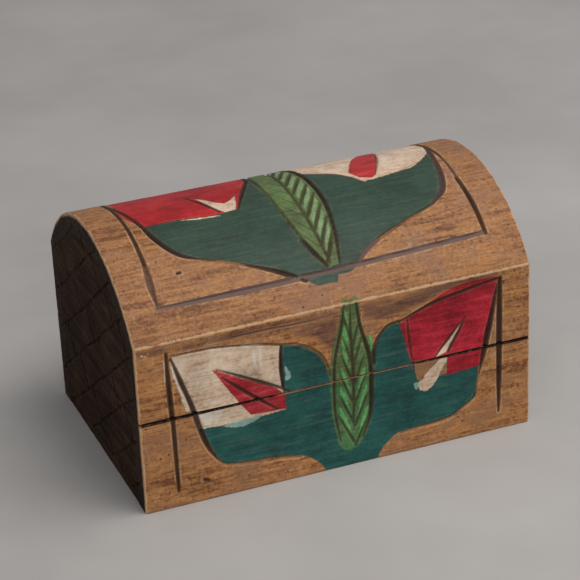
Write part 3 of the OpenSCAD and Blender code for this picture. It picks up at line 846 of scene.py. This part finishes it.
def painted_wood(name, grain, wood, cup, red, leaf, stain_tints, gloss):
    """Stained wood with brushed paint, dark cuts, worn edges, stained ends and a bare inside."""
    material, t = new_material(name)
    n = wood_parts(t, grain)
    tone = n["band"] * 0.28 + n["fibre"] * 0.2 + n["blotch"] * 0.27 + n["grit"] * 0.25
    colour = t.ramp(tone, [(0.41, wood[0]), (0.5, wood[1]), (0.59, wood[2])])
    golden = (n["drift"] * 0.4 + n["band"] * 0.6 - 0.53).edge(0.08)
    colour = t.mix(colour, wood[4], golden * 0.45)
    colour = t.mix(colour, tint(92, 62, 46), (0.43 - n["streak"]).edge(0.07) * 0.34)
    smudge = (n["blotch"] * 0.6 + n["band"] * 0.4 - 0.545).edge(0.08)
    colour = t.mix(colour, wood[3], smudge * 0.55)
    colour = t.mix(colour, tint(84, 56, 38), n["pore"] * 0.5)
    speck = t.node("ShaderNodeTexVoronoi", {}, {"Vector": n["place"], "Scale": 0.22}, out="Distance")
    near_rim = 1.0 - (t.named("edge") - 3.0 - (n["drift"] - 0.5) * 8.0).edge(3.0)
    splash = (n["grit"] * 0.7 + n["fibre"] * 0.3 - 0.6).edge(0.06) * near_rim
    colour = t.mix(colour, tint(66, 44, 32), splash * 0.65)
    near_cut = (t.named("cut") + 1.7).edge(1.2)
    scratch = (n["scratch"] - 0.67).edge(0.08) * near_rim.high(near_cut) * (n["blotch"] - 0.5).edge(0.1)
    colour = t.mix(colour, tint(204, 180, 150), scratch * 0.3)
    colour = t.mix(colour, tint(52, 38, 30), (0.09 - speck).edge(0.06) * 0.75)

    jitter = (n["grit"] - 0.5) * 1.1 + (n["drift"] - 0.5) * 1.5
    worn_streak = (n["streak"] - 0.6).edge(0.1)
    brushed = n["streak"] * 0.3 + n["blotch"] * 0.4 + n["drift"] * 0.15 + n["grit"] * 0.15
    paints = {
        # grime and painted shade under the crease, with ragged, soft edges
        "grime": (tint(76, 52, 46), tint(94, 66, 58), tint(112, 82, 70), 0.78, 0.45),
        "cup": (*cup, 0.98, 0.05),
        "bare_patch": (tint(132, 92, 60), tint(152, 108, 72), tint(168, 124, 86), 0.9, 0.0),
        "cream": (tint(150, 124, 102), tint(202, 175, 150), tint(224, 204, 182), 0.98, 0.36),
        "red": (*red, 0.98, 0.08),
        "chalk": (tint(180, 168, 152), tint(206, 196, 182), tint(222, 214, 202), 0.75, 0.5),
        "smear": (tint(110, 144, 134), tint(142, 170, 160), tint(176, 196, 186), 0.75, 0.3),
        "leaf": (*leaf[:3], 0.95, 0.3),
        "light_leaf": (*leaf[3:], 0.8, 0.4),
    }
    painted = None
    for paint, (dark, middle, light, cover, wear) in paints.items():
        shade = t.ramp(brushed, [(0.40, dark), (0.5, middle), (0.61, light)])
        ragged, soft = (1.1, 2.2) if paint == "grime" else (0.55, 0.35)
        mask = (t.named(paint) + jitter * ragged).edge(soft) * (cover - worn_streak * wear)
        colour = t.mix(colour, shade, mask)
        painted = mask if painted is None else painted.high(mask)

    stain = (t.named("stain") - 0.5 + jitter * 0.12).edge(0.25)
    cut = t.named("cut") + (n["grit"] - 0.5) * 0.5
    # a pale line along the lips of the cuts on unpainted wood: wear and a painted highlight
    lip = (cut + 0.45).edge(0.35) * (1.0 - (cut + 0.05).edge(0.2)) * (n["drift"] - 0.5).edge(0.12)
    colour = t.mix(colour, tint(190, 158, 122), lip * (1.0 - painted * 0.85) * (1.0 - stain) * 0.5)
    in_cut = (cut - 0.1).edge(0.45)
    deep = (cut - 0.55).edge(0.9)
    # cuts hold dark stain, greyed in places by dust and a painted sheen
    cut_tint = t.mix(t.mix(tint(70, 50, 38), tint(34, 24, 20), deep), tint(106, 88, 84), t.named("dust"))
    colour = t.mix(colour, cut_tint, in_cut * (0.9 - t.named("fade") * 0.85))

    worn = 1.0 - (t.named("edge") - 0.62 - jitter * 0.75).edge(0.45)
    colour = t.mix(colour, tint(202, 166, 128), worn * 0.72)
    stained = t.ramp(tone, list(zip((0.41, 0.5, 0.6), stain_tints)))
    # a small painted highlight along the edges of the cuts in the stained ends
    stained = t.mix(stained, tint(104, 78, 56), lip * 0.3)
    stained = t.mix(stained, tint(6, 4, 3), (t.named("cut") + 0.12).edge(0.35) * 0.95)
    stained = t.mix(stained, tint(168, 132, 98), worn * 0.6)
    colour = t.mix(colour, stained, stain)
    across = t.node("ShaderNodeSeparateXYZ", {}, {0: n["place"]}).other("X")
    bare = (t.named("bare") - 0.5).edge(0.3) * (HALF_W - 0.2 - abs(across)).edge(0.1)
    raw = t.ramp(tone, [(0.39, tint(116, 82, 54)), (0.5, tint(150, 112, 76)), (0.61, tint(176, 138, 98))])
    colour = t.mix(colour, raw, bare)

    roughness = 0.56 + (n["fibre"] - 0.5) * 0.35 - painted * 0.04 + in_cut.high(stain) * 0.25 + bare * 0.12
    bump = (n["fibre"] * 0.45 + n["streak"] * 0.25 - n["pore"] * 0.4) * (1.0 - painted * 0.4)
    bump = bump + n["grit"] * 0.25 + painted * 0.3
    finish_material(t, colour, roughness, bump, bump_depth=0.0002, strength=0.4, gloss=gloss)
    return material


def bare_wood():
    material, t = new_material("bare_inner_wood")
    n = wood_parts(t, "X")
    tone = n["band"] * 0.5 + n["fibre"] * 0.3 + n["blotch"] * 0.4 - 0.1
    colour = t.ramp(tone, [(0.38, tint(128, 92, 60)), (0.5, tint(172, 134, 94)), (0.62, tint(198, 164, 124))])
    colour = t.mix(colour, tint(96, 64, 40), n["pore"] * 0.6)
    bump = n["fibre"] * 0.6 - n["pore"] * 0.5
    finish_material(t, colour, 0.62 + (n["fibre"] - 0.5) * 0.3, bump)
    return material


def aged_brass():
    material, t = new_material("aged_brass")
    place = t.scaled(t.node("ShaderNodeTexCoord", out="Object"), (1 / MM, 1 / MM, 1 / MM))
    tarnish = t.noise(place, 0.35, 4.0, 0.65)
    scratch = t.noise(t.scaled(place, (0.3, 3.0, 3.0)), 1.0, 2.0)
    colour = t.ramp(tarnish * 0.75 + scratch * 0.25, [
        (0.36, tint(96, 70, 36)), (0.5, tint(168, 130, 66)), (0.64, tint(206, 172, 100))])
    roughness = 0.62 - (tarnish - 0.35) * 0.6
    finish_material(t, colour, roughness, tarnish + scratch * 0.4, metallic=0.92, bump_depth=0.0001)
    return material


def plain_floor():
    material, t = new_material("pale_floor")
    place = t.node("ShaderNodeTexCoord", out="Object")
    cloudy = t.noise(place, 6.0, 4.0, 0.6)
    colour = t.ramp(cloudy, [(0.35, tint(160, 156, 152)), (0.65, tint(174, 170, 166))])
    finish_material(t, colour, 0.85, t.noise(place, 240.0, 2.0), bump_depth=0.0001, strength=0.2)
    return material


# ---- Pieces ------------------------------------------------------------------------------------
def front_place(z_low, side):
    """Puts a slab on the front (side -1) or the back (side 1)."""
    return lambda u, v, w: (-side * (u - HALF_W), side * (HALF_D + w), z_low + v)


def end_place(z_low, side):
    return lambda u, v, w: (side * (HALF_W + w), u - END_LEN / 2, z_low + v)


def domed_end_place(side):
    """An end board of the lid: its upper edge follows the dome's hollow."""
    hollow = DOME_R - DOME_T - GLUE
    full = CREASE - LID_Z

    def place(u, v, w):
        y = u - END_LEN / 2
        top = np.maximum(CREASE, AXIS_Z + np.sqrt(np.maximum(hollow ** 2 - y ** 2, 0)))
        return side * (HALF_W + w), y, LID_Z + v / full * (top - LID_Z)
    return place


def shifted(face, up):
    """The same face seen by a carver who measures height from the underside."""
    face.v = face.v + up
    return face


def base_front(face):
    front_frame(face)
    front_flower(face)


def rail_front(face):
    shifted(face, LID_Z)
    base_front(face)


def base_back(face):
    back_frame(face)


def rail_back(face):
    back_frame(shifted(face, LID_Z))


def dome_top(face):
    dome_frame(face)
    dome_flower(face)


def long_board(height, cell, low, high, worn, carve):
    finishes = {"left": "stain", "right": "stain", "low": low, "high": high, "face": "wood"}
    rims = {"left": 0.8, "right": 0.8, "low": 0.7 if low == "wood" else saw_rim,
            "high": 0.05 if high == "wood" else saw_rim}
    return Board((WIDTH, height, WALL_T), cell, rims, finishes, worn, carve)


# Wood: dark, middle and light grain, smudges, golden patches
WOOD_FRONT = (tint(108, 68, 42), tint(164, 114, 72), tint(192, 145, 98),
              tint(112, 76, 62), tint(180, 124, 68))
# the front's wood, retinted for the sheen of the light on the dome: a painted sheen
WOOD_DOME_LIT = (tint(106, 68, 44), tint(152, 106, 69), tint(180, 135, 94),
             tint(118, 84, 70), tint(168, 114, 66))
# Paints and stains: dark, middle and light
TEAL = (tint(22, 60, 58), tint(26, 77, 73), tint(33, 90, 83))
# the cup's teal paint, greyed on the dome for the glare of the light there: a painted sheen
CUP_DOME_SHEEN = (tint(40, 58, 49), tint(45, 67, 56), tint(52, 76, 64))
STAIN_END = (tint(29, 19, 13), tint(50, 34, 24), tint(76, 53, 38))
STAIN_RIM = (tint(26, 16, 10), tint(45, 30, 20), tint(69, 48, 34))
RED_FRONT = (tint(112, 20, 28), tint(150, 27, 40), tint(184, 42, 58))
# the red paint, brightened on the dome for the light that falls there: painted light
RED_DOME_LIT = (tint(128, 24, 28), tint(162, 32, 36), tint(186, 46, 46))
LEAF_FRONT = (tint(68, 70, 44), tint(66, 98, 60), tint(84, 126, 76),
              tint(70, 128, 72), tint(84, 158, 88), tint(116, 186, 112))
LEAF_DOME = (tint(74, 74, 48), tint(84, 106, 62), tint(100, 124, 74),
             tint(98, 120, 82), tint(120, 146, 104), tint(146, 168, 128))

front_wood = painted_wood("painted_front_wood", "X", WOOD_FRONT, TEAL, RED_FRONT, LEAF_FRONT, STAIN_RIM, 0.14)
# the dome's copy of the front's material, its wood, cup and red retinted for the light on the dome
dome_wood = painted_wood("painted_dome_wood", "X", WOOD_DOME_LIT, CUP_DOME_SHEEN, RED_DOME_LIT, LEAF_DOME, STAIN_RIM, 0.16)
end_wood = painted_wood("stained_end_wood", "Y", WOOD_FRONT, TEAL, RED_FRONT, LEAF_FRONT, STAIN_END, 0.06)
inner_wood = bare_wood()
brass = aged_brass()

bend = dome_rule()
end_cuts = end_cut_rule()
nails = nail_rule()


def settle(piece, body, node, finish):
    end_cuts.run(piece, Finish=finish)
    face_outwards(piece)
    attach(piece, body)
    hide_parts(node)


def make_long_boards():
    base_worn = {"left": 1.0, "right": 1.0, "low": 0.65, "high": 0.55}
    rail_worn = {"left": 1.0, "right": 1.0, "low": 0.4, "high": 0.9}
    for name, side, cell, on_base, on_rail in (("front", -1, FINE, base_front, rail_front),
                                               ("back", 1, PLAIN, base_back, rail_back)):
        board = long_board(BASE_H, cell, "wood", "bare", base_worn, on_base)
        piece = board.build(f"base_{name}_panel", front_place(0, side))
        settle(piece, "base", f"base_{name}_board", front_wood)
        board = long_board(CREASE - LID_Z, cell, "bare", "wood", rail_worn, on_rail)
        piece = board.build(f"lid_{name}_panel", front_place(LID_Z, side))
        settle(piece, "lid", f"lid_{name}_rail", front_wood)


def make_end_boards():
    for name, side in (("left", -1), ("right", 1)):
        rims = {"left": 0.05, "right": 0.05, "low": 0.6, "high": saw_rim}
        finishes = {"left": "stain", "right": "stain", "low": "bare", "high": "bare", "face": "stain"}
        board = Board((END_LEN, BASE_H, END_T), FINE, rims, finishes, {"low": 0.5, "high": 0.4})
        piece = board.build(f"base_{name}_panel", end_place(0, side))
        settle(piece, "base", f"base_{name}_end", end_wood)
        rims = {"left": 0.05, "right": 0.05, "low": saw_rim, "high": 0.05}
        finishes["high"] = "stain"
        board = Board((END_LEN, CREASE - LID_Z, END_T), FINE, rims, finishes, {"low": 0.4})
        piece = board.build(f"lid_{name}_panel", domed_end_place(side))
        settle(piece, "lid", f"lid_{name}_end", end_wood)


def make_dome():
    rims = {"left": 1.0, "right": 1.0, "low": 0.05, "high": 0.05}
    finishes = {"left": "stain", "right": "stain", "low": "wood", "high": "wood", "face": "wood"}
    worn = {"left": 0.95, "right": 0.95, "low": 0.9, "high": 0.9}
    board = Board((WIDTH, DOME_ARC, DOME_T), DOME_CELL, rims, finishes, worn, dome_top)
    piece = board.build("dome_shell", lambda u, v, w: (u - HALF_W, v, w))
    bend.run(piece, Finish=dome_wood)
    settle(piece, "lid", "dome_panel", dome_wood)


def make_nails():
    for body in ("base", "lid"):
        members = [f"{side}_hinge_{body}_nails" for side in ("left", "right")]
        points = []
        for member in members:
            low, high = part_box(member)
            for x in (low.x + 0.0013, high.x - 0.0013):
                points.append((x, high.y - 0.0007, (low.z + high.z) / 2))
        mesh = bpy.data.meshes.new(f"{body}_hinge_nail_set")
        mesh.from_pydata(points, [], [])
        piece = bpy.data.objects.new(f"{body}_hinge_nail_set", mesh)
        bpy.context.scene.collection.objects.link(piece)
        nails.run(piece, Finish=brass, Shank_Length=(high.y - low.y) - 0.0007)
        piece.data.shade_smooth()
        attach(piece, body)
        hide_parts(*members)


def coat(node, material):
    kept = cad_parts[node]
    kept.data.materials.clear()
    kept.data.materials.append(material)


make_long_boards()
make_end_boards()
make_dome()
make_nails()
coat("bottom_board", inner_wood)
for side in ("left", "right"):
    for part in ("base_leaf", "lid_leaf", "pin"):
        coat(f"{side}_hinge_{part}", brass)


# ---- Floor, light and camera -------------------------------------------------------------------
def make_floor():
    mesh = bpy.data.meshes.new("floor")
    mesh.from_pydata([(-3, -2, 0), (3, -2, 0), (3, 6, 0), (-3, 6, 0)], [], [(0, 1, 2, 3)])
    floor = bpy.data.objects.new("floor", mesh)
    bpy.context.scene.collection.objects.link(floor)
    mesh.materials.append(plain_floor())


def add_lamp(name, place, aim, size, power, warmth):
    lamp = bpy.data.lights.new(name, "AREA")
    lamp.shape, lamp.size, lamp.energy, lamp.color = "DISK", size, power, warmth
    holder = bpy.data.objects.new(name, lamp)
    holder.location = place
    holder.rotation_euler = (Vector(aim) - Vector(place)).to_track_quat("-Z", "Y").to_euler()
    bpy.context.scene.collection.objects.link(holder)


def make_light():
    add_lamp("window_light", (0.42, -0.35, 1.15), (0, 0, 0.04), 0.9, 10.5, (1.0, 0.985, 0.965))
    add_lamp("room_light", (-0.15, -1.3, 0.7), (0, 0, 0.04), 1.0, 6.5, (1.0, 0.99, 0.975))
    world = bpy.data.worlds.new("soft_room")
    world.use_nodes = True
    t = Tree(world.node_tree)
    glow = t.node("ShaderNodeBackground", {}, {"Color": (0.93, 0.95, 1.0, 1.0), "Strength": 0.36})
    t.node("ShaderNodeOutputWorld", {}, {0: glow})
    bpy.context.scene.world = world


def make_camera():
    turn, tilt, roll = math.radians(20.84), math.radians(26.22), math.radians(-2.58)
    ahead = Vector((math.sin(turn) * math.cos(tilt), math.cos(turn) * math.cos(tilt), -math.sin(tilt)))
    right = Vector((math.cos(turn), -math.sin(turn), 0))
    up = right.cross(ahead)
    across = math.cos(roll) * right + math.sin(roll) * up
    above = -math.sin(roll) * right + math.cos(roll) * up
    lens = bpy.data.cameras.new("view")
    lens.sensor_width, lens.lens = 36, 137.5
    lens.clip_start, lens.clip_end = 0.05, 20
    camera = bpy.data.objects.new("view", lens)
    camera.matrix_world = Matrix((across, above, -ahead)).transposed().to_4x4()
    camera.location = (-0.2601, -0.6866, 0.4108)
    bpy.context.scene.collection.objects.link(camera)
    bpy.context.scene.camera = camera


make_floor()
make_light()
make_camera()
bpy.context.scene.view_settings.view_transform = "Standard"
